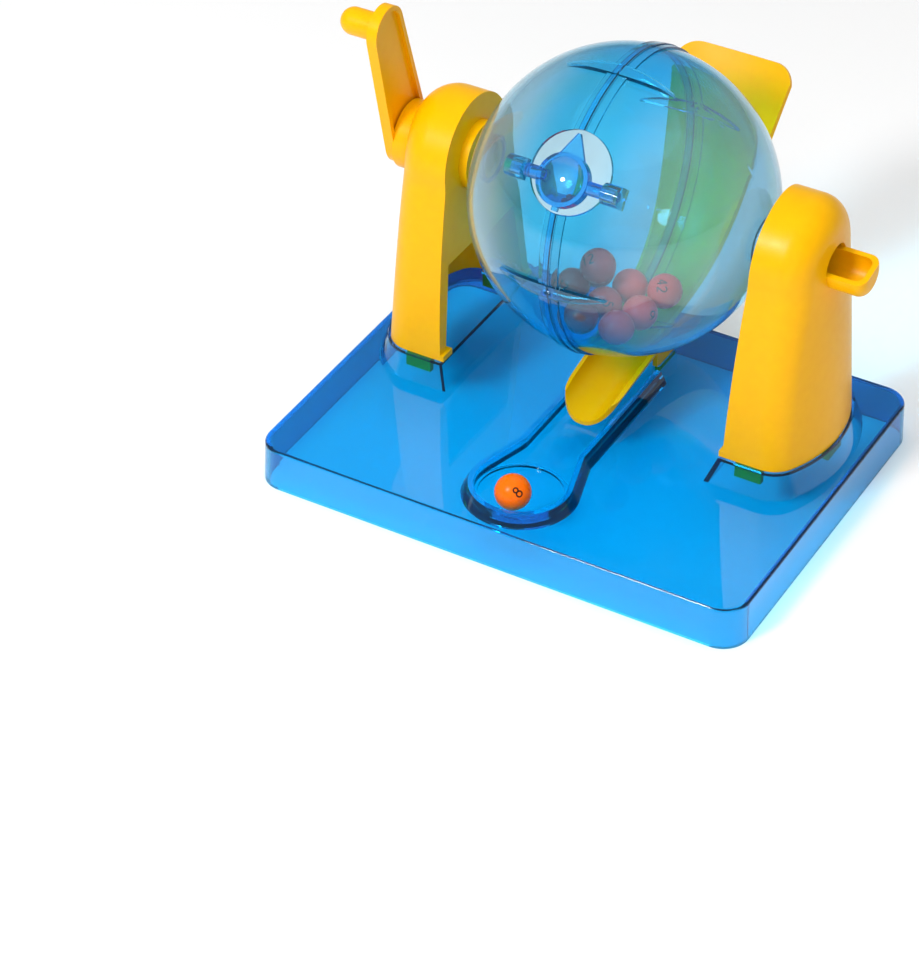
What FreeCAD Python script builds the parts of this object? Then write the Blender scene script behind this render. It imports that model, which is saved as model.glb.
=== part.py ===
"""Bingo cage: a hand-cranked see-through drum on a moulded base, with a swinging gate and a ball chute.

Millimetres. +Z is up, +X runs along the drum's axle away from the crank, -Y is the front, where drawn
balls arrive. The origin is the middle of the base's underside.
"""
import FreeCAD, Part
import math
import os

V = FreeCAD.Vector

# how far a cut runs past a face, how deep one lump of a moulding is rooted in the next,
# and how close two heights are taken as the same
past = 1.0
sink = 0.5
hair = 0.01

# base tray
base_length = 209.0
base_depth = 158.0
base_height = 18.0
base_wall = 2.0
base_corner = 11.0
base_draft = 0.6
base_edge_round = 1.4

# axle and drum; the axle's height is measured from the seats of the uprights
pedestal_height = 10.0
axle_y = 25.6
axle_rise = 77.8
axle_z = base_height + pedestal_height + axle_rise
drum_radius = 60.0
drum_wall = 1.8
band_width = 4.0
band_proud = 0.7
rib_width = 0.9
rib_proud = 1.1
lap_length = 2.6
lap_gap = 0.1

# pedestals and uprights, whose plates stand a gap away from the drum at the foot and at the bearing
pedestal_ledge = 1.2
pedestal_flare = 5.0
upright_wall = 2.0
foot_gap = 2.0
foot_width = 33.0
head_gap = 4.5
head_width = 24.7
upright_inner_foot = drum_radius + foot_gap
upright_outer_foot = upright_inner_foot + foot_width
upright_inner_head = drum_radius + head_gap
upright_outer_head = upright_inner_head + head_width
upright_foot_half = 33.1
upright_foot_lean = 1.2
upright_leg_radius = 380.0
upright_head_radius = 24.6
upright_waist_radius = 25.0
upright_edge_round = 12.0
upright_bulge = 56.0
foot_corner = 12.0
arch_height = 40.0
arch_rim = 4.5
arch_lean = 4.5
arch_cut = 12.0
toe_depth = 7.0
toe_height = 2.6
toe_out = 1.5
toe_in = 4.5
tab_length = 8.0
tab_width = 11.0
tab_thick = 2.4
tab_root = 0.4
slot_gap = 0.3

# bearings
running_gap = 0.08
barrel_radius = 13.9
hub_radius = 10.0
hub_wall = 2.0
hub_length = 12.0
hub_gap = 0.12
collar_wall = 2.2
collar_depth = 6.0
trough_radius = 8.8
trough_wall = 2.0
trough_reach = 14.4
trough_end = upright_outer_head + trough_reach
trough_tilt = 12.0
trough_rise = 2.0
trough_root = 8.0
trough_end_round = 4.4

# crank
crank_lean = 15.6
crank_throw = 55.5
crank_plate = 4.4
crank_clear = 4.8
crank_outer = upright_outer_head + crank_clear + crank_plate
crank_hub_radius = 12.4
crank_tip_radius = 10.0
crank_rim = 2.0
crank_recess = 1.6
knob_radius = 5.5
knob_reach = 16.6
crank_boss_radius = 11.0
barrel_gap = 1.2
socket_gap = 0.5
relief_floor = 3.0

# gate and its hole
gate_angle = 50.0
hole_radius = 16.0
gate_offset = 3.8
gate_lift = 0.8
cup_radius = 10.15
cup_inner = 8.5
cup_low = 1.6
cup_high = 3.0
cup_floor = 1.2
bowl_radius = 13.6
spike_gap = 1.8
spike_half_width = 5.4
spike_tip_half = 0.5
flap_thick = 1.8
flap_root = 1.6
tail_gap = 0.6
tail_half_width = 1.2
gate_arm_radius = 2.6
gate_side_gap = 0.3
pin_radius = 1.6
pin_hold = 5.0
pin_reach = hole_radius + pin_hold
sleeve_radius = 4.0
sleeve_length = 6.8
sleeve_back = 0.4

# fins moulded on the drum
fin_half_length = 22.5
fin_half_width = 2.8
fin_proud = 1.6
fin_angles = (6.5, 95.5, 185.0, 278.5)

# balls
ball_radius = 7.1
ball_gap = 0.3
ball_pitch = 2 * ball_radius + ball_gap
drawn_ball_aside = 0.8
drawn_ball_ahead = 7.6
drawn_ball_gap = 0.1
# where the lowest balls lie on the drum's shell, in ball pitches from the point below the axle's middle
heap_spots = ((-1.434, -0.124), (-0.427, -0.11), (-1.172, 0.842), (-0.165, 0.87), (0.842, 0.966),
              (0.607, -0.028), (0.497, -1.186), (-0.552, -1.269))

# channel and chute
channel_pocket_y = -53.4
channel_pocket_radius = 18.0
channel_side_gap = 4.4
channel_neck_half = ball_radius + channel_side_gap
channel_neck_y = -28.0
channel_back_y = 36.0
channel_rim_height = 5.0
channel_rim_top = 2.2
channel_rim_slope = 3.0
pocket_recess = 1.5
pocket_dish_radius = 16.8
pocket_pan_radius = 19.0
chute_wall = 1.8
chute_tongue_round = 11.8
chute_top_round = 9.5
chute_foot_x = 7.0
chute_foot_thick = 2.0
chute_foot_y0 = axle_y + 20.4
chute_foot_length = 14.0
chute_foot_shoulder = 2.0
chute_foot_root = 2.6
chute_tab = 5.0
tongue_side_gap = 2.1
tongue_half = channel_neck_half - tongue_side_gap
# stations of the chute's floor: place from the axle, slope, half width, depth of its side walls
chute_stations = (
    (-31.0, -85.2, 6.0, tongue_half, 5.0),
    (-8.0, -83.0, 7.0, tongue_half + 1.1, 8.6),
    (14.0, -80.0, 11.0, 11.0, 9.0),
    (36.0, -74.4, 20.0, 12.4, 8.6),
    (57.0, -62.6, 38.0, 14.6, 7.6),
    (72.0, -44.6, 57.0, 17.4, 6.6),
    (82.0, -23.0, 66.0, 20.6, 5.4),
    (90.0, -3.4, 65.0, 23.4, 4.2),
    (98.6, 13.2, 61.0, 25.4, 3.0),
)


def box(x0, x1, y0, y1, z0, z1):
    return Part.makeBox(x1 - x0, y1 - y0, z1 - z0, V(x0, y0, z0))


def rod(radius, start, end):
    axis = end - start
    return Part.makeCylinder(radius, axis.Length, start, axis)


def prism(points, direction):
    return Part.Face(Part.makePolygon(points + [points[0]])).extrude(direction)


def arc(a, b, c):
    return Part.Arc(a, b, c).toShape()


def line(a, b):
    return Part.LineSegment(a, b).toShape()


def both_sides(shape):
    """The shape and its mirror image across the middle plane."""
    return [shape, shape.mirror(V(0, 0, 0), V(1, 0, 0))]


def turned(shape, degrees):
    """Turns a shape made on the drum's own centre about the axle, then moves it to the axle."""
    shape.rotate(V(0, 0, 0), V(1, 0, 0), degrees)
    shape.translate(V(0, axle_y, axle_z))
    return shape


# ---------------------------------------------------------------- base tray

def rounded_rectangle(half_x, half_y, corner, z):
    """A closed wire, counter-clockwise from the front edge."""
    k = corner * (1 - math.sqrt(0.5))
    edges = []
    for sx, sy in ((1, -1), (1, 1), (-1, 1), (-1, -1)):
        outer_x, outer_y = sx * half_x, sy * half_y
        on_x_side = V(outer_x, outer_y - sy * corner, z)
        on_y_side = V(outer_x - sx * corner, outer_y, z)
        first, last = (on_y_side, on_x_side) if sx * sy < 0 else (on_x_side, on_y_side)
        if edges:
            edges.append(line(edges[-1].Vertexes[-1].Point, first))
        edges.append(arc(first, V(outer_x - sx * k, outer_y - sy * k, z), last))
    edges.append(line(edges[-1].Vertexes[-1].Point, edges[0].Vertexes[0].Point))
    return Part.Wire(edges)


def tray_block(inset, z0, z1):
    """The tray's drafted block, shrunk all round by inset."""
    half_x, half_y = base_length / 2 - inset, base_depth / 2 - inset
    corner = base_corner - inset
    low = rounded_rectangle(half_x, half_y, corner, z0)
    high = rounded_rectangle(half_x - base_draft, half_y - base_draft, corner - base_draft / 2, z1)
    return Part.makeLoft([low, high], True, True)


def foot_wire(grow, z):
    """The D-shaped outline of a right-hand foot, grown all round, at height z."""
    x_in, x_out = upright_inner_foot - grow, upright_outer_foot + grow
    half = upright_foot_half + grow
    r, bulge = foot_corner + grow, upright_bulge + grow
    # a corner's arc touches the straight end from inside, and the bulging outer side where the two centres line up
    centre_x = x_out - bulge
    corner_y = half - r
    corner_x = centre_x + math.sqrt((bulge - r) ** 2 - corner_y ** 2)
    lean = math.atan2(corner_y, corner_x - centre_x)
    mid = (lean + math.pi / 2) / 2
    meet = (centre_x + bulge * math.cos(lean), bulge * math.sin(lean))
    on_corner = (corner_x + r * math.cos(mid), corner_y + r * math.sin(mid))

    def front(x, y):
        return V(x, axle_y - y, z)

    def back(x, y):
        return V(x, axle_y + y, z)
    return Part.Wire([
        line(front(x_in, half), front(corner_x, half)),
        arc(front(corner_x, half), front(*on_corner), front(*meet)),
        arc(front(*meet), V(x_out, axle_y, z), back(*meet)),
        arc(back(*meet), back(*on_corner), back(corner_x, half)),
        line(back(corner_x, half), back(x_in, half)),
        line(back(x_in, half), front(x_in, half))])


def pedestal(inset, z0, z1):
    """The raised, flared seat under a right-hand upright, between two heights."""
    def grow_at(z):
        share = (z - base_height) / pedestal_height
        return pedestal_flare + (pedestal_ledge - pedestal_flare) * share - inset
    return Part.makeLoft([foot_wire(grow_at(z0), z0), foot_wire(grow_at(z1), z1)], True, True)


def tab_boxes(gap):
    """The three snap tabs of a right-hand upright, or with a gap the slots they pass through."""
    top = base_height + pedestal_height
    z0, z1 = top - tab_length, top + tab_length / 2
    mid_x = (upright_inner_foot + upright_outer_foot - foot_corner) / 2
    half = tab_width / 2 + gap
    t0 = upright_wall - tab_root - gap
    t1 = upright_wall - tab_root + tab_thick + gap
    front, back = axle_y - upright_foot_half, axle_y + upright_foot_half
    out = upright_outer_foot
    return [box(mid_x - half, mid_x + half, front + t0, front + t1, z0, z1),
            box(mid_x - half, mid_x + half, back - t1, back - t0, z0, z1),
            box(out - t1, out - t0, axle_y - half, axle_y + half, z0, z1)]


def channel_outline(grow, z):
    """The keyhole outline of the ball channel: a round pocket in front and a straight neck behind."""
    pocket = channel_pocket_radius + grow
    neck = channel_neck_half + grow
    py, ny, by = channel_pocket_y, channel_neck_y, channel_back_y
    # the flank leaves the pocket's circle along its tangent and ends at the neck
    dy, dx = ny - py, neck
    reach = math.hypot(dx, dy)
    turn = math.acos(pocket / reach)
    at = math.atan2(dy, dx) - turn
    tx, ty = pocket * math.cos(at), py + pocket * math.sin(at)
    points = [V(neck, by, z), V(neck, ny, z), V(tx, ty, z)]
    left = [V(-p.x, p.y, z) for p in points]
    return Part.Wire([
        line(points[0], points[1]), line(points[1], points[2]),
        arc(points[2], V(0, py - pocket, z), left[2]),
        line(left[2], left[1]), line(left[1], left[0]), line(left[0], points[0])])


def channel_rim():
    z0, z1 = base_height - sink, base_height + channel_rim_height
    outer = Part.makeLoft([channel_outline(channel_rim_top + channel_rim_slope, z0),
                           channel_outline(channel_rim_top, z1)], True, True)
    inner = Part.Face(channel_outline(0, z0 - past)).extrude(V(0, 0, z1 - z0 + 2 * past))
    return outer.cut(inner)


def chute_feet(gap, z0, z1):
    """The chute's two feet between two heights, or with a gap the slots they pass through."""
    x0, x1 = chute_foot_x - chute_foot_thick / 2 - gap, chute_foot_x + chute_foot_thick / 2 + gap
    y0, y1 = chute_foot_y0 - gap, chute_foot_y0 + chute_foot_length + gap
    return both_sides(box(x0, x1, y0, y1, z0, z1))


def base_tray():
    top = base_height + pedestal_height
    block = tray_block(0, 0, base_height)
    rim_edges = [e for e in block.Edges if e.BoundBox.ZMin > base_height - hair]
    tray = block.makeFillet(base_edge_round, rim_edges)
    seats = both_sides(pedestal(0, base_height - sink, top))
    hollows = both_sides(pedestal(base_wall, base_height - base_wall - past, top - base_wall))
    slots = chute_feet(slot_gap, base_height - chute_tab, base_height + past)
    for tab in tab_boxes(slot_gap):
        slots += both_sides(tab)
    pan_floor = base_height - pocket_recess
    pan = Part.makeCylinder(pocket_pan_radius, pocket_recess + base_wall,
                            V(0, channel_pocket_y, pan_floor - base_wall))
    dish = Part.makeCylinder(pocket_dish_radius, pocket_recess + past, V(0, channel_pocket_y, pan_floor))
    tray = tray.fuse(seats + [channel_rim()])
    tray = tray.cut(tray_block(base_wall, -past, base_height - base_wall)).cut(hollows)
    return tray.fuse(pan).cut([dish] + slots).removeSplitter()


# ---------------------------------------------------------------- uprights

def upright_outline(inset, x):
    """The side view of an upright at x: a foot, two bowed legs, a small waist and a round head."""
    head = upright_head_radius - inset
    waist = upright_waist_radius + inset
    leg = upright_leg_radius - inset
    foot_z = base_height + pedestal_height - axle_z
    lean = math.radians(upright_foot_lean)
    # the leg's arc leaves the foot leaning in a little, and its centre is far on the other side
    leg_y = upright_foot_half - upright_leg_radius * math.cos(lean)
    leg_z = foot_z - upright_leg_radius * math.sin(lean)
    foot_y = leg_y + math.sqrt(leg ** 2 - (foot_z - leg_z) ** 2)
    # the waist's arc touches the head's circle and the leg's circle from outside
    reach = math.hypot(leg_y, leg_z)
    along = (reach ** 2 + (head + waist) ** 2 - (leg + waist) ** 2) / (2 * reach)
    across = math.sqrt((head + waist) ** 2 - along ** 2)
    waist_y = (along * leg_y - across * leg_z) / reach
    waist_z = (along * leg_z + across * leg_y) / reach
    share = waist / (leg + waist)
    on_leg = (waist_y + (leg_y - waist_y) * share, waist_z + (leg_z - waist_z) * share)
    share = head / (head + waist)
    on_head = (waist_y * share, waist_z * share)
    middle = ((on_leg[0] + on_head[0]) / 2 - waist_y, (on_leg[1] + on_head[1]) / 2 - waist_z)
    share = waist / math.hypot(*middle)
    on_waist = (waist_y + middle[0] * share, waist_z + middle[1] * share)
    # a point of the leg's arc halfway between foot and waist
    half_z = (foot_z + on_leg[1]) / 2
    on_shin = (leg_y + math.sqrt(leg ** 2 - (half_z - leg_z) ** 2), half_z)
    foot = (foot_y, foot_z)

    def front(p):
        return V(x, axle_y - p[0], axle_z + p[1])

    def back(p):
        return V(x, axle_y + p[0], axle_z + p[1])
    return Part.Wire([
        arc(back(foot), back(on_shin), back(on_leg)),
        arc(back(on_leg), back(on_waist), back(on_head)),
        arc(back(on_head), V(x, axle_y, axle_z + head), front(on_head)),
        arc(front(on_head), front(on_waist), front(on_leg)),
        arc(front(on_leg), front(on_shin), front(foot)),
        line(front(foot), back(foot))])


def between_faces(inner_inset, outer_inset):
    """A wedge between the leaning inner and outer faces of a right-hand upright."""
    foot_z = base_height + pedestal_height
    top_z = axle_z + 2 * upright_head_radius
    inner_lean = (upright_inner_head - upright_inner_foot) / (axle_z - foot_z)
    outer_lean = (upright_outer_head - upright_outer_foot) / (axle_z - foot_z)
    front, back = axle_y - 2 * upright_foot_half, axle_y + 2 * upright_foot_half
    inner, outer = upright_inner_foot + inner_inset, upright_outer_foot - outer_inset
    rise = top_z - foot_z
    return prism([V(inner, front, foot_z), V(outer, front, foot_z),
                  V(outer + outer_lean * rise, front, top_z), V(inner + inner_lean * rise, front, top_z)],
                 V(0, back - front, 0))


def bulged(inset):
    """A leaning drum-like rod whose side is the bulging outer side of a right-hand upright."""
    foot_z = base_height + pedestal_height
    rise = axle_z - foot_z
    axis = V(upright_outer_head - upright_outer_foot, 0, rise).normalize()
    radius = upright_bulge - inset
    centre = V(upright_outer_foot - upright_bulge, axle_y, foot_z)
    side = rod(radius, centre - axis * rise, centre + axis * (2 * rise))
    # its seam line is turned to the side that is cut away
    side.rotate(centre, axis, 180)
    return side


def upright_block(inset):
    """The D-shaped body: the side view pushed across and trimmed, with its outer edge rounded."""
    push = Part.Face(upright_outline(inset, upright_inner_foot - past))
    push = push.extrude(V(upright_outer_foot - upright_inner_foot + 2 * past, 0, 0))
    block = push.common(between_faces(inset, -past)).common(bulged(inset))
    face = max(block.Faces, key=lambda f: f.CenterOfMass.x)
    foot_z = base_height + pedestal_height
    edges = [e for e in face.Edges if e.BoundBox.ZMax > foot_z + hair]
    return block.makeFillet(upright_edge_round - inset, edges)


def arch():
    """The opening below the bearing plate on the drum's side, with leaning flanks."""
    half = upright_foot_half - arch_rim
    foot_z = base_height + pedestal_height
    x0 = upright_inner_foot - past
    top = foot_z + arch_height
    foot_half = half + past * arch_lean / arch_height
    top_half = half - arch_lean
    return prism([V(x0, axle_y - foot_half, foot_z - past), V(x0, axle_y + foot_half, foot_z - past),
                  V(x0, axle_y + top_half, top), V(x0, axle_y - top_half, top)], V(arch_cut, 0, 0))


def upright_shell():
    """What both uprights share, as a right-hand piece."""
    foot_z = base_height + pedestal_height
    hollow = upright_block(upright_wall)
    hollow = hollow.fuse(hollow.translated(V(0, 0, -past)))
    shell = upright_block(0).cut([hollow, arch()])
    toes = []
    for side in (-1, 1):
        edge = axle_y + side * upright_foot_half
        y0, y1 = sorted((edge, edge - side * toe_depth))
        toes.append(box(upright_inner_foot - toe_out, upright_inner_foot + toe_in, y0, y1,
                        foot_z, foot_z + toe_height))
    return shell.fuse(toes + tab_boxes(0))


def bearing_collar(radius):
    """A ring behind the bearing plate and its bore, for a shaft of this radius."""
    face = upright_inner_head
    ring = rod(radius + collar_wall, V(face + sink, axle_y, axle_z), V(face + collar_depth, axle_y, axle_z))
    bore = rod(radius + running_gap, V(upright_inner_foot - past, axle_y, axle_z),
               V(face + collar_depth + past, axle_y, axle_z))
    return ring, bore


def left_upright():
    """The shared shell with a collar for the crank's barrel, which also passes through the outer face."""
    ring, bore = bearing_collar(barrel_radius)
    outer_bore = rod(barrel_radius + running_gap, V(upright_outer_head - barrel_radius / 2, axle_y, axle_z),
                     V(upright_outer_foot, axle_y, axle_z))
    shell = upright_shell().fuse(ring).cut([bore, outer_bore])
    return shell.mirror(V(0, 0, 0), V(1, 0, 0)).removeSplitter()


def on_axle(x):
    return V(x, axle_y, axle_z)


def trough():
    """The half-open tube on the right head: its outside, its bore, and all that lies above its rims."""
    root = upright_outer_head - trough_root
    tube = rod(trough_radius, on_axle(root), on_axle(trough_end))
    end_edges = [e for e in tube.Edges if e.BoundBox.XMin > trough_end - hair]
    tube = tube.makeFillet(trough_end_round, end_edges)
    bore_end = trough_end - trough_wall
    bore = rod(trough_radius - trough_wall, on_axle(root - past), on_axle(bore_end))
    bore_edges = [e for e in bore.Edges if e.BoundBox.XMin > bore_end - hair]
    bore = bore.makeFillet(trough_end_round - trough_wall / 2, bore_edges)
    reach = 2 * trough_radius
    above = box(root - past, trough_end + past, -reach, reach, 0, reach)
    above.rotate(V(0, 0, 0), V(1, 0, 0), trough_tilt)
    above.translate(V(0, axle_y, axle_z + trough_rise))
    return tube, bore, above


def right_upright():
    """The shared shell with a collar for the drum's hub, and the trough with a round hole over it."""
    ring, bore = bearing_collar(hub_radius)
    tube, hollow, above = trough()
    hole = rod(trough_radius, on_axle(upright_outer_head - trough_root), on_axle(trough_end)).common(above)
    shell = upright_shell().fuse(ring).cut([bore, hole])
    return shell.fuse(tube.cut(above)).cut(hollow).removeSplitter()


# ---------------------------------------------------------------- chute

def chute_section(station, inside, outside, closed_by_chord):
    """A section square to the floor's slope: between two offsets of its arc, or from one to its chord."""
    y, z, slope, half, depth = station
    a = math.radians(slope)
    radius = (half * half + depth * depth) / (2 * depth)
    spread = math.atan2(half, radius - depth)

    def place(x, up):
        return V(x, axle_y + y - up * math.sin(a), axle_z + z + up * math.cos(a))

    def rim(offset):
        r = radius + offset
        return r * math.sin(spread), radius - r * math.cos(spread)
    ox, ou = rim(outside)
    outer = arc(place(ox, ou), place(0, -outside), place(-ox, ou))
    if closed_by_chord:
        return Part.Wire([outer, line(place(-ox, ou), place(ox, ou))])
    ix, iu = rim(inside)
    inner = arc(place(-ix, iu), place(0, -inside), place(ix, iu))
    return Part.Wire([inner, line(place(ix, iu), place(ox, ou)), outer, line(place(-ox, ou), place(-ix, iu))])


def tongue_corners():
    """What is cut away to round the end of the chute's tongue, seen from above."""
    tip_y = axle_y + chute_stations[0][0]
    r = chute_tongue_round
    block = box(-2 * r, 2 * r, tip_y - r, tip_y + r, base_height - past, axle_z)
    return block.cut(Part.makeCylinder(r, axle_z, V(0, tip_y + r, 0)))


def shield_corners():
    """What is cut away to round the two top corners of the shield, square to its sheet."""
    y, z, slope, half, depth = chute_stations[-1]
    r = chute_top_round
    corner = box(half - r, half + r, -r, r, -r, r)
    corner = corner.cut(Part.makeCylinder(r, 2 * r, V(half - r, -r, -r)))
    corners = both_sides(corner)
    for shape in corners:
        shape.rotate(V(0, 0, 0), V(1, 0, 0), slope)
        shape.translate(V(0, axle_y + y, axle_z + z))
    return corners


def ball_chute():
    """One curved sheet: a tongue into the channel, a half-pipe under the drum and a shield behind it."""
    sheet = Part.makeLoft([chute_section(s, 0, chute_wall, False) for s in chute_stations], True, False)
    above = Part.makeLoft([chute_section(s, 0, chute_wall / 2, True) for s in chute_stations], True, False)
    posts = []
    # the feet end a little above the floor of the station behind them, where the sheet takes over
    foot_top = axle_z + chute_stations[3][1] + chute_foot_root
    for foot in chute_feet(0, base_height - chute_tab + slot_gap, foot_top):
        b = foot.BoundBox
        shoulder = box(b.XMin, b.XMax, b.YMin - chute_foot_shoulder, b.YMax + chute_foot_shoulder,
                       base_height, b.ZMax)
        posts.append(foot.fuse(shoulder).cut(above))
    return sheet.fuse(posts).cut([tongue_corners()] + shield_corners()).removeSplitter()


# ---------------------------------------------------------------- drum

def half_space(side):
    """The half of space where a drum half lies: side -1 is the crank's, side 1 the trough's."""
    reach = 2 * drum_radius
    return box(min(0, side * reach), max(0, side * reach), -reach, reach, -reach, reach)


def ring_on_axle(r0, r1, x0, x1):
    x0, x1 = sorted((x0, x1))
    return rod(r1, V(x0, 0, 0), V(x1, 0, 0)).cut(rod(r0, V(x0 - past, 0, 0), V(x1 + past, 0, 0)))


def fin(side, angle):
    """Half of a lens-shaped rib on the drum, on one side of the seam, at an angle from the top."""
    bulge = (fin_half_length ** 2 + fin_half_width ** 2) / (2 * fin_half_width)
    low = math.sqrt(drum_radius ** 2 - fin_half_length ** 2) - drum_wall
    height = drum_radius - low + fin_proud
    lens = Part.makeCylinder(bulge, height, V(0, bulge - fin_half_width, low))
    lens = lens.common(Part.makeCylinder(bulge, height, V(0, fin_half_width - bulge, low)))
    lens = lens.common(Part.makeSphere(drum_radius + fin_proud)).common(half_space(side))
    lens = lens.cut(Part.makeSphere(drum_radius - drum_wall / 2))
    lens.rotate(V(0, 0, 0), V(1, 0, 0), angle)
    return lens


def sleeve(side):
    """The bearing on the drum for one of the gate's pins, on a pad down to the shell, and its bore."""
    axis_z = drum_radius + gate_lift
    x0 = side * (hole_radius + sleeve_back)
    x1 = x0 + side * sleeve_length
    root = math.sqrt(drum_radius ** 2 - x1 ** 2) - drum_wall / 2
    body = rod(sleeve_radius, V(x0, -gate_offset, axis_z), V(x1, -gate_offset, axis_z))
    front, back = -gate_offset - sleeve_radius, -gate_offset + sleeve_radius
    pad = box(min(x0, x1), max(x0, x1), front, back, root, axis_z)
    pad = pad.cut(Part.makeSphere(drum_radius - drum_wall / 2))
    bore = rod(pin_radius + running_gap, V(x0 - side * past, -gate_offset, axis_z),
               V(side * (pin_reach + gate_side_gap), -gate_offset, axis_z))
    return body.fuse(pad), bore


def drum_half(side):
    """One hemisphere with its hub: the crank's half has a rebate at the seam, the other half a tongue."""
    shell = Part.makeSphere(drum_radius).cut(Part.makeSphere(drum_radius - drum_wall))
    shell = shell.common(half_space(side))
    lap_radius = drum_radius - drum_wall / 2
    band = ring_on_axle(lap_radius, drum_radius + band_proud, 0, side * band_width)
    rib = ring_on_axle(lap_radius, drum_radius + rib_proud, 0, side * rib_width)
    shell = shell.fuse([band, rib])
    if side > 0:
        tongue = ring_on_axle(drum_radius - drum_wall, lap_radius - lap_gap, -lap_length, sink)
        shell = shell.fuse(tongue.common(Part.makeSphere(lap_radius)))
    else:
        shell = shell.cut(ring_on_axle(drum_radius - 2 * drum_wall, lap_radius, -lap_length - lap_gap, past))
    root = math.sqrt(drum_radius ** 2 - hub_radius ** 2) - drum_wall
    hub_end = drum_radius + hub_length
    hub = rod(hub_radius, V(side * root, 0, 0), V(side * hub_end, 0, 0))
    hub_bore = rod(hub_radius - hub_wall, V(side * (root - hub_wall), 0, 0), V(side * (hub_end + past), 0, 0))
    shell = shell.fuse(hub).cut(hub_bore)
    shell = turned(shell.fuse([fin(side, angle) for angle in fin_angles]), 0)
    hole = Part.makeCylinder(hole_radius, drum_radius, V(0, 0, drum_radius / 2))
    body, bore = sleeve(side)
    shell = shell.fuse(turned(body, gate_angle))
    return shell.cut([turned(hole, gate_angle), turned(bore, gate_angle)]).removeSplitter()


def gate_cup():
    """The swinging gate: a dished cup on two pins, a pointed flap on one side and a tail on the other."""
    axis_z = drum_radius + gate_lift
    low, high = axis_z - cup_low, axis_z + cup_high
    ring = Part.makeCylinder(cup_radius, high - low, V(0, -gate_offset, low))
    dip = bowl_radius - math.sqrt(bowl_radius ** 2 - cup_inner ** 2)
    bowl_z = low + cup_floor
    bore = Part.makeCylinder(cup_inner, bowl_radius, V(0, -gate_offset, bowl_z))
    bowl = Part.makeSphere(bowl_radius, V(0, -gate_offset, bowl_z + bowl_radius)).common(bore)
    mouth = Part.makeCylinder(cup_inner, bowl_radius, V(0, -gate_offset, bowl_z + dip))
    cup = ring.cut([bowl, mouth])
    flap_z = axis_z - flap_thick / 2
    tip_y = hole_radius - spike_gap
    root_y = -gate_offset + cup_radius - flap_root
    flap = prism([V(-spike_half_width, root_y, flap_z), V(spike_half_width, root_y, flap_z),
                  V(spike_tip_half, tip_y, flap_z), V(-spike_tip_half, tip_y, flap_z)], V(0, 0, flap_thick))
    tail = box(-tail_half_width, tail_half_width, tail_gap - hole_radius, -gate_offset - cup_radius + past,
               flap_z, flap_z + flap_thick)
    pieces = [flap, tail]
    for side in (-1, 1):
        root = V(side * (cup_inner + sink), -gate_offset, axis_z)
        arm_end = V(side * (hole_radius - gate_side_gap), -gate_offset, axis_z)
        pin_end = V(side * pin_reach, -gate_offset, axis_z)
        pieces += [rod(gate_arm_radius, root, arm_end), rod(pin_radius, root, pin_end)]
    return turned(cup.fuse(pieces).removeSplitter(), gate_angle)


# ---------------------------------------------------------------- crank

def stadium(r0, r1, x0, x1):
    """A plate with a big round end on the axle and a small one a throw away, between two x."""
    slope = math.asin((r0 - r1) / crank_throw)
    up = V(0, 0, crank_throw)
    sy, sz = math.cos(slope), math.sin(slope)
    x = V(x0, 0, 0)
    a0, a1 = V(x0, r0 * sy, r0 * sz), V(x0, r1 * sy, r1 * sz) + up
    b0, b1 = V(x0, -r0 * sy, r0 * sz), V(x0, -r1 * sy, r1 * sz) + up
    wire = Part.Wire([line(a0, a1), arc(a1, V(x0, 0, crank_throw + r1), b1),
                      line(b1, b0), arc(b0, V(x0, 0, -r0), a0)])
    return Part.Face(wire).extrude(V(x1 - x0, 0, 0))


def crank_handle():
    """Arm, knob and barrel in one piece; the barrel's socket is pressed on the left hub."""
    inner = crank_outer - crank_plate

    def out(x, z=0.0):
        return V(-x, 0, z)
    arm = stadium(crank_hub_radius, crank_tip_radius, -crank_outer, -inner)
    pocket = stadium(crank_hub_radius - crank_rim, crank_tip_radius - crank_rim,
                     -inner - crank_recess, -inner + past)
    boss = rod(crank_boss_radius, out(crank_outer), out(inner - past))
    arm = arm.cut(pocket.cut(boss))
    knob_end = crank_outer + knob_reach - knob_radius
    knob = rod(knob_radius, out(crank_outer - past, crank_throw), out(knob_end, crank_throw))
    knob = knob.fuse(Part.makeSphere(knob_radius, out(knob_end, crank_throw)))
    barrel_end = drum_radius + barrel_gap
    barrel = rod(barrel_radius, out(inner + sink), out(barrel_end))
    mouth = out(barrel_end - past)
    socket = rod(hub_radius + hub_gap, out(drum_radius + hub_length + socket_gap), mouth)
    relief = rod(hub_radius - hub_wall, out(inner - relief_floor), mouth)
    crank = arm.fuse([knob, barrel]).cut([socket, relief])
    return turned(crank, crank_lean).removeSplitter()


# ---------------------------------------------------------------- balls

def ball(centre):
    return Part.makeSphere(ball_radius, centre)


def heap():
    """The balls that lie in the bottom of the drum: eight on the shell and one on top of three of them."""
    reach = drum_radius - drum_wall - ball_radius - ball_gap
    spots = [(ball_pitch * x, ball_pitch * y) for x, y in heap_spots]
    places = [V(x, axle_y + y, axle_z - math.sqrt(reach ** 2 - x * x - y * y)) for x, y in spots]
    a, b, c = places[:3]
    # the top ball lies over the middle of the three, square to their plane, and just clears the nearest
    normal = (b - a).cross(c - a).normalize()
    if normal.z < 0:
        normal = -normal
    middle = (a + b + c) / 3
    nearest = min((p - middle).Length for p in (a, b, c))
    return places + [middle + normal * math.sqrt(ball_pitch ** 2 - nearest ** 2)]


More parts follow.
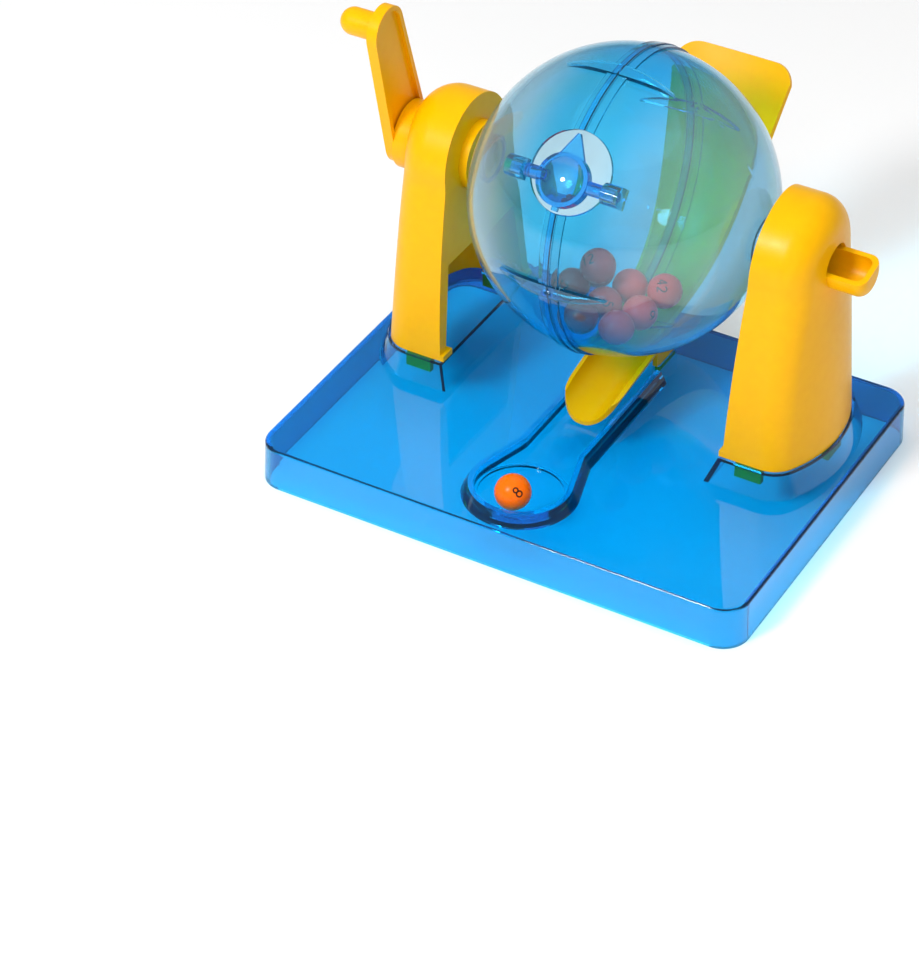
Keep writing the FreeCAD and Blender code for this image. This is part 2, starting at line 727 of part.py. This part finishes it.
def main():
    os.makedirs("parts", exist_ok=True)
    pieces = {
        "base_tray": base_tray(),
        "left_upright": left_upright(),
        "right_upright": right_upright(),
        "ball_chute": ball_chute(),
        "drum_half_left": drum_half(-1),
        "drum_half_right": drum_half(1),
        "gate_cup": gate_cup(),
        "crank_handle": crank_handle(),
    }
    dish_floor = base_height - pocket_recess
    pieces["drawn_ball"] = ball(V(drawn_ball_aside, channel_pocket_y - drawn_ball_ahead,
                                  dish_floor + drawn_ball_gap + ball_radius))
    for index, place in enumerate(heap(), start=1):
        pieces[f"ball_{index:02d}"] = ball(place)
    for name, shape in pieces.items():
        b = shape.BoundBox
        print(f"{name:16s} solids {len(shape.Solids)} valid {shape.isValid()} volume {shape.Volume:9.1f} "
              f"x {b.XMin:.1f} {b.XMax:.1f} y {b.YMin:.1f} {b.YMax:.1f} z {b.ZMin:.1f} {b.ZMax:.1f}")
        shape.exportStep(f"parts/{name}.step")


main()
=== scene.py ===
"""Bingo cage: a clear blue drum with a crank, between two yellow uprights on a clear blue tray."""
import math

import bpy
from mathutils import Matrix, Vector


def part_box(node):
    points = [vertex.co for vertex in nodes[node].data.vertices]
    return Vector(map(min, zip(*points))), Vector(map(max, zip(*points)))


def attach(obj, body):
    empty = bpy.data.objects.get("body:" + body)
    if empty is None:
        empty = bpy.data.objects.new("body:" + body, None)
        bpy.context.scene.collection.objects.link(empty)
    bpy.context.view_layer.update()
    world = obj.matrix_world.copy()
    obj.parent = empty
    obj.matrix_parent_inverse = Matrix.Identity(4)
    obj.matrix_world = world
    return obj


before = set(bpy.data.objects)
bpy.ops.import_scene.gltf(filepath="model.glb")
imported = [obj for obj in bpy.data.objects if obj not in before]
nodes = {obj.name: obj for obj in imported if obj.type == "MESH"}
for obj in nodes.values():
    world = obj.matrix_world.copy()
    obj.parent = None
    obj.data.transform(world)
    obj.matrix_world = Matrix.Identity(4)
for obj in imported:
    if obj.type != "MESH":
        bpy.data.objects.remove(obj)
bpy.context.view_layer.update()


# ---------------------------------------------------------------- base tray
# One moulding of clear blue polystyrene about 2 mm thick, open underneath, with a keyhole channel
# for the drawn ball and two raised seats. It is polished, its edges gather the darkest blue, and it
# stands loose on its skirt.

plastic_ior = 1.49
ripple_detail = 2.0


def link(tree, out_node, out_name, in_node, in_name):
    tree.links.new(out_node.outputs[out_name], in_node.inputs[in_name])


def surface_ripple(tree, shader, size, strength, height):
    """The faint unevenness that every moulded face has, as a bump on the shader's normal."""
    place = tree.nodes.new("ShaderNodeTexCoord")
    noise = tree.nodes.new("ShaderNodeTexNoise")
    noise.inputs["Scale"].default_value = 1 / size
    noise.inputs["Detail"].default_value = ripple_detail
    bump = tree.nodes.new("ShaderNodeBump")
    bump.inputs["Strength"].default_value = strength
    bump.inputs["Distance"].default_value = height
    link(tree, place, "Object", noise, "Vector")
    link(tree, noise, "Fac", bump, "Height")
    link(tree, bump, "Normal", shader, "Normal")
    return noise


def clear_plastic(name, tint, dye, depth, cloud, roughness, ripple):
    """Dyed clear plastic. tint is what white light keeps on its way through a wall. dye is what it
    keeps for each depth metres inside, as along an edge. cloud is how milky the plastic is."""
    material = bpy.data.materials.new(name)
    material.use_nodes = True
    tree = material.node_tree
    tree.nodes.clear()
    out = tree.nodes.new("ShaderNodeOutputMaterial")
    glass = tree.nodes.new("ShaderNodeBsdfPrincipled")
    glass.name = "clear"
    glass.inputs["Base Color"].default_value = (*tint, 1)
    glass.inputs["Transmission Weight"].default_value = 1 - cloud
    glass.inputs["IOR"].default_value = plastic_ior
    glass.inputs["Roughness"].default_value = roughness
    surface_ripple(tree, glass, size=ripple, strength=0.25, height=0.0002)
    # lamps shine through it, so that what lies under and inside it is lit
    lamp_ray = tree.nodes.new("ShaderNodeLightPath")
    through = tree.nodes.new("ShaderNodeBsdfTransparent")
    mix = tree.nodes.new("ShaderNodeMixShader")
    link(tree, lamp_ray, "Is Shadow Ray", mix, "Fac")
    link(tree, glass, "BSDF", mix, 1)
    link(tree, through, "BSDF", mix, 2)
    link(tree, mix, "Shader", out, "Surface")
    loss = [-math.log(kept) / depth for kept in dye]
    densest = max(loss)
    body = tree.nodes.new("ShaderNodeVolumeAbsorption")
    body.inputs["Color"].default_value = (*[1 - part / densest for part in loss], 1)
    body.inputs["Density"].default_value = densest
    link(tree, body, "Volume", out, "Volume")
    return material


def finish_node(name, material):
    """Gives a CAD node its finish; its shape and place stay as they are."""
    node = nodes[name]
    node.data.materials.clear()
    node.data.materials.append(material)


tray_wall = 0.002
tray_blue = clear_plastic("tray_blue", tint=(0.002, 0.38, 0.66), dye=(0.45, 0.93, 0.985),
                          depth=tray_wall, cloud=0.03, roughness=0.03, ripple=0.030)
finish_node("base_tray", tray_blue)


# ---------------------------------------------------------------- uprights
# Two hollow yellow polystyrene mouldings, open towards the drum, that snap into the tray's seats
# with three tabs each. The crank's barrel turns in the left one and the drum's hub in the right
# one, which has a little half-open trough on its head.

polish_spread = 0.05


def solid_plastic(name, colour, deep_colour, roughness, glow, ripple):
    """Dyed solid plastic: light sinks in a little, and the skin has a fine moulding texture."""
    material = bpy.data.materials.new(name)
    material.use_nodes = True
    tree = material.node_tree
    skin = tree.nodes["Principled BSDF"]
    skin.inputs["Subsurface Weight"].default_value = glow
    skin.inputs["Subsurface Radius"].default_value = (1.0, 0.45, 0.08)
    skin.inputs["Subsurface Scale"].default_value = 0.0025
    skin.inputs["IOR"].default_value = plastic_ior
    skin.inputs["Specular IOR Level"].default_value = 0.2
    noise = surface_ripple(tree, skin, size=ripple, strength=0.12, height=0.0001)
    shade = tree.nodes.new("ShaderNodeMix")
    shade.data_type = "RGBA"
    shade.inputs["A"].default_value = (*colour, 1)
    shade.inputs["B"].default_value = (*deep_colour, 1)
    link(tree, noise, "Fac", shade, "Factor")
    link(tree, shade, "Result", skin, "Base Color")
    polish = tree.nodes.new("ShaderNodeMapRange")
    polish.inputs["To Min"].default_value = roughness - polish_spread
    polish.inputs["To Max"].default_value = roughness + polish_spread
    link(tree, noise, "Fac", polish, "Value")
    link(tree, polish, "Result", skin, "Roughness")
    return material


yellow = solid_plastic("toy_yellow", colour=(0.90, 0.46, 0.0), deep_colour=(0.86, 0.41, 0.0),
                       roughness=0.34, glow=0.2, ripple=0.004)
for name in ("left_upright", "right_upright"):
    finish_node(name, yellow)


# ---------------------------------------------------------------- ball chute
# A curved sheet of the same yellow plastic: the shield behind the drum, the half-pipe under it and
# the tongue that hands the ball to the channel. Its two feet snap through slots in the tray.

finish_node("ball_chute", yellow)


# ---------------------------------------------------------------- drum
# Two clear blue hemispheres, lapped and welded at the seam, each with a hub to turn on, half of the
# four stiffening fins and one bearing of the gate. The blue is deepest along the seam and fades to
# a pale, cloudier grey towards the hubs. That grey is painted reflection: it stands in for the
# white sheen that the surroundings lay over the drum.

drum_wall = 0.0018
deep_zone = 0.008
# the fade into the painted reflection near the hubs runs between these two distances from the seam
painted_reflection_zone = 0.036
drum_blue = clear_plastic("drum_blue", tint=(0.12, 0.70, 0.95), dye=(0.70, 0.93, 0.985),
                          depth=drum_wall, cloud=0.03, roughness=0.02, ripple=0.040)


def fade_to_hubs(material, painted_reflection_tint, clear_cloud, painted_reflection_cloud):
    """Fades the drum along its axle, from deep blue at the seam to a pale, cloudier tint near the
    hubs; the pale tint is painted reflection.
    """
    tree = material.node_tree
    glass = tree.nodes["clear"]
    deep_tint = glass.inputs["Base Color"].default_value[:]
    place = tree.nodes.new("ShaderNodeTexCoord")
    split = tree.nodes.new("ShaderNodeSeparateXYZ")
    away = tree.nodes.new("ShaderNodeMath")
    away.operation = "ABSOLUTE"
    fade = tree.nodes.new("ShaderNodeMapRange")
    fade.interpolation_type = "SMOOTHSTEP"
    fade.inputs["From Min"].default_value = deep_zone
    fade.inputs["From Max"].default_value = painted_reflection_zone
    link(tree, place, "Object", split, "Vector")
    link(tree, split, "X", away, 0)
    link(tree, away, "Value", fade, "Value")
    tint = tree.nodes.new("ShaderNodeMix")
    tint.data_type = "RGBA"
    tint.inputs["A"].default_value = deep_tint
    tint.inputs["B"].default_value = (*painted_reflection_tint, 1)
    link(tree, fade, "Result", tint, "Factor")
    link(tree, tint, "Result", glass, "Base Color")
    clear = tree.nodes.new("ShaderNodeMapRange")
    clear.inputs["To Min"].default_value = 1 - clear_cloud
    clear.inputs["To Max"].default_value = 1 - painted_reflection_cloud
    link(tree, fade, "Result", clear, "Value")
    link(tree, clear, "Result", glass, "Transmission Weight")


# the pale, cloudier tint near the hubs is painted reflection
fade_to_hubs(drum_blue, painted_reflection_tint=(0.74, 0.77, 0.82), clear_cloud=0.02, painted_reflection_cloud=0.10)
for name in ("drum_half_left", "drum_half_right"):
    finish_node(name, drum_blue)


# ---------------------------------------------------------------- gate
# A small clear blue cup in the drum's hole that lets one ball out per turn. It is moulded in one
# piece with a pointed flap, a tail and two pins, which are sprung into the drum's bearings.

gate_blue = clear_plastic("gate_blue", tint=(0.24, 0.70, 0.98), dye=(0.40, 0.80, 0.97),
                          depth=drum_wall, cloud=0.06, roughness=0.03, ripple=0.010)
finish_node("gate_cup", gate_blue)


# ---------------------------------------------------------------- crank
# One moulding of the same yellow plastic: a channelled arm, a round knob and a barrel. The barrel
# goes through the left upright from outside and is pressed over the drum's left hub.

finish_node("crank_handle", yellow)


# ---------------------------------------------------------------- balls
# Hollow, glossy orange balls of about 14 mm: nine in the drum and the drawn one in the channel's
# pocket. Each has its number printed in black, a thin layer of ink that follows the ball.

orange = solid_plastic("ball_orange", colour=(0.98, 0.16, 0.002), deep_colour=(0.92, 0.14, 0.002),
                       roughness=0.28, glow=0.2, ripple=0.003)
# painted shade: the balls in the drum take a darker, redder copy of the ball orange
shaded_ball_orange = solid_plastic("ball_orange_painted_shade", colour=(0.80, 0.05, 0.04),
                            deep_colour=(0.74, 0.04, 0.03), roughness=0.28, glow=0.2, ripple=0.003)
ink = solid_plastic("number_ink", colour=(0.02, 0.008, 0.006), deep_colour=(0.03, 0.010, 0.008),
                    roughness=0.45, glow=0.0, ripple=0.002)
ink_proud = 0.00003
digit_height = 0.0042

# A digit is drawn in a box one high and digit_width wide, in two kinds of stroke:
# ("line", x, y, x, y) and ("arc", x, y, radius, from, to), with the angles in degrees.
digit_width = 0.6
digit_gap = 0.15
digit_pitch = digit_width + digit_gap
ink_step = 0.06
pen = 0.075
digit_strokes = {
    "0": [("arc", 0.3, 0.70, 0.27, 0, 180), ("line", 0.03, 0.70, 0.03, 0.30),
          ("arc", 0.3, 0.30, 0.27, 180, 360), ("line", 0.57, 0.30, 0.57, 0.70)],
    "1": [("line", 0.10, 0.78, 0.32, 1.0), ("line", 0.32, 1.0, 0.32, 0.0)],
    "2": [("arc", 0.3, 0.72, 0.26, 165, -35),
          ("line", 0.51, 0.57, 0.05, 0.0), ("line", 0.05, 0.0, 0.57, 0.0)],
    "3": [("arc", 0.28, 0.75, 0.22, 150, -90), ("arc", 0.28, 0.27, 0.26, 90, -150)],
    "4": [("line", 0.42, 0.0, 0.42, 1.0),
          ("line", 0.42, 1.0, 0.02, 0.30), ("line", 0.02, 0.30, 0.58, 0.30)],
    "5": [("line", 0.52, 1.0, 0.12, 1.0), ("line", 0.12, 1.0, 0.10, 0.55),
          ("arc", 0.28, 0.30, 0.30, 128, -140)],
    "6": [("arc", 0.3, 0.29, 0.27, 0, 360), ("arc", 0.63, 0.34, 0.60, 180, 108)],
    "7": [("line", 0.04, 1.0, 0.57, 1.0), ("line", 0.57, 1.0, 0.22, 0.0)],
    "8": [("arc", 0.3, 0.76, 0.22, 0, 360), ("arc", 0.3, 0.27, 0.27, 0, 360)],
    "9": [("arc", 0.3, 0.71, 0.27, 0, 360), ("arc", -0.03, 0.66, 0.60, 0, -72)],
}


def stroke_points(stroke):
    """Points along one stroke of a digit, with the direction across it at each."""
    if stroke[0] == "line":
        x0, y0, x1, y1 = stroke[1:]
        length = math.hypot(x1 - x0, y1 - y0)
        count = max(2, round(length / ink_step))
        across = (-(y1 - y0) / length, (x1 - x0) / length)
        return [(x0 + (x1 - x0) * i / count, y0 + (y1 - y0) * i / count, *across)
                for i in range(count + 1)]
    x, y, radius, start, end = stroke[1:]
    count = max(4, round(abs(math.radians(end - start)) * radius / ink_step))
    angles = [math.radians(start + (end - start) * i / count) for i in range(count + 1)]
    return [(x + radius * math.cos(a), y + radius * math.sin(a), math.cos(a), math.sin(a))
            for a in angles]


def print_number(ball_name, number, facing, upwards):
    """A number printed on a ball: ribbons of ink laid on the sphere, centred where it faces."""
    low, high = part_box(ball_name)
    centre = (Vector(low) + Vector(high)) / 2
    radius = (high[2] - low[2]) / 2 + ink_proud
    out = Vector(facing).normalized()
    up = (Vector(upwards) - out * Vector(upwards).dot(out)).normalized()
    right = up.cross(out)
    width = digit_width * len(number) + digit_gap * (len(number) - 1)
    points, faces = [], []
    for index, digit in enumerate(number):
        for stroke in digit_strokes[digit]:
            first = len(points)
            for x, y, across_x, across_y in stroke_points(stroke):
                for side in (-pen, 0.0, pen):
                    u = (x + digit_pitch * index + across_x * side - width / 2) * digit_height
                    v = (y + across_y * side - 0.5) * digit_height
                    spot = out * radius + right * u + up * v
                    points.append(centre + spot.normalized() * radius)
            for row in range(first, len(points) - 3, 3):
                for column in (row, row + 1):
                    faces.append((column, column + 1, column + 4, column + 3))
    mesh = bpy.data.meshes.new("number_" + ball_name)
    mesh.from_pydata(points, [], faces)
    mesh.materials.append(ink)
    mesh.validate()
    piece = bpy.data.objects.new("number_" + ball_name, mesh)
    bpy.context.scene.collection.objects.link(piece)
    return piece


finish_node("drawn_ball", orange)
drawn_number = print_number("drawn_ball", "8", (0.62, -0.58, 0.62), (-0.75, -0.1, 0.65))
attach(drawn_number, "drawn_ball")

# each heaped ball's number, the way that it faces and the way that its top points
heap_numbers = {
    "ball_01": ("17", (-0.2, -0.9, 0.4), (0.3, 0, 1)),
    "ball_02": ("5", (0.5, -0.6, 0.6), (1, 0, 0.2)),
    "ball_03": ("31", (-0.8, 0.5, 0.3), (0, 0, 1)),
    "ball_04": ("60", (0.2, 0.9, 0.2), (0, 0, 1)),
    "ball_05": ("42", (0.1, -0.6, 0.8), (1, 0.5, 0)),
    "ball_06": ("9", (0.9, -0.3, 0.3), (0, 1, 1)),
    "ball_07": ("24", (0.0, -0.7, -0.7), (1, 0, 0)),
    "ball_08": ("73", (-0.3, -0.8, -0.4), (0, 0, 1)),
    "ball_09": ("12", (-0.35, -0.65, 0.68), (-0.6, 0.1, 0.7)),
}
for name, (number, facing, upwards) in heap_numbers.items():
    # the heaped balls get the shaded copy of the orange, which is painted shade
    finish_node(name, shaded_ball_orange)
    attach(print_number(name, number, facing, upwards), "frame")


# ---------------------------------------------------------------- table, light and camera
# A plain white table in a studio with a pale sky all round, a wide soft ceiling lamp and a soft
# fill on the right. The key lamp in front, above the toy and a little to its left, gives the gloss
# its highlights.

table_span = 6
bpy.ops.mesh.primitive_plane_add(size=table_span)
table = bpy.context.object
table.name = "table"
white = bpy.data.materials.new("table_white")
white.use_nodes = True
table_top = white.node_tree.nodes["Principled BSDF"]
table_top.inputs["Base Color"].default_value = (0.93, 0.93, 0.93, 1)
table_top.inputs["Roughness"].default_value = 0.6
table.data.materials.append(white)

sky = bpy.data.worlds.new("studio")
sky.use_nodes = True
sky_light = sky.node_tree.nodes["Background"]
sky_light.inputs["Color"].default_value = (1, 1, 1, 1)
sky_light.inputs["Strength"].default_value = 0.3
bpy.context.scene.world = sky


def soft_lamp(name, place, aim, size, power, glossy):
    """A round lamp at place that shines on aim; a glossy one shows in polished faces."""
    lamp = bpy.data.lights.new(name, "AREA")
    lamp.shape = "DISK"
    lamp.size = size
    lamp.energy = power
    holder = bpy.data.objects.new(name, lamp)
    bpy.context.scene.collection.objects.link(holder)
    holder.location = place
    holder.rotation_mode = "QUATERNION"
    holder.rotation_quaternion = (Vector(aim) - Vector(place)).to_track_quat("-Z", "Y")
    holder.visible_glossy = glossy


toy_middle = (0, 0, 0.08)
soft_lamp("key", (-0.29, -0.86, 0.85), toy_middle, size=0.28, power=9, glossy=True)
soft_lamp("ceiling", (0, 0, 1.8), (0, 0, 0), size=2.4, power=24, glossy=False)
soft_lamp("fill", (0.8, -1.2, 0.5), toy_middle, size=1.2, power=5, glossy=False)

view_azimuth = math.radians(29.86)
view_elevation = math.radians(38.25)
view_distance = 1.42483
view_target = Vector((-0.05747, 0, -0.03922))
focal_length = 128.97
level = math.cos(view_elevation)
towards_camera = Vector((math.sin(view_azimuth) * level, -math.cos(view_azimuth) * level,
                         math.sin(view_elevation)))
lens = bpy.data.cameras.new("camera")
lens.lens = focal_length
lens.sensor_width = 36.0
camera = bpy.data.objects.new("camera", lens)
bpy.context.scene.collection.objects.link(camera)
camera.location = view_target + towards_camera * view_distance
camera.rotation_mode = "QUATERNION"
camera.rotation_quaternion = (-towards_camera).to_track_quat("-Z", "Y")
bpy.context.scene.camera = camera
bpy.context.scene.view_settings.view_transform = "Standard"
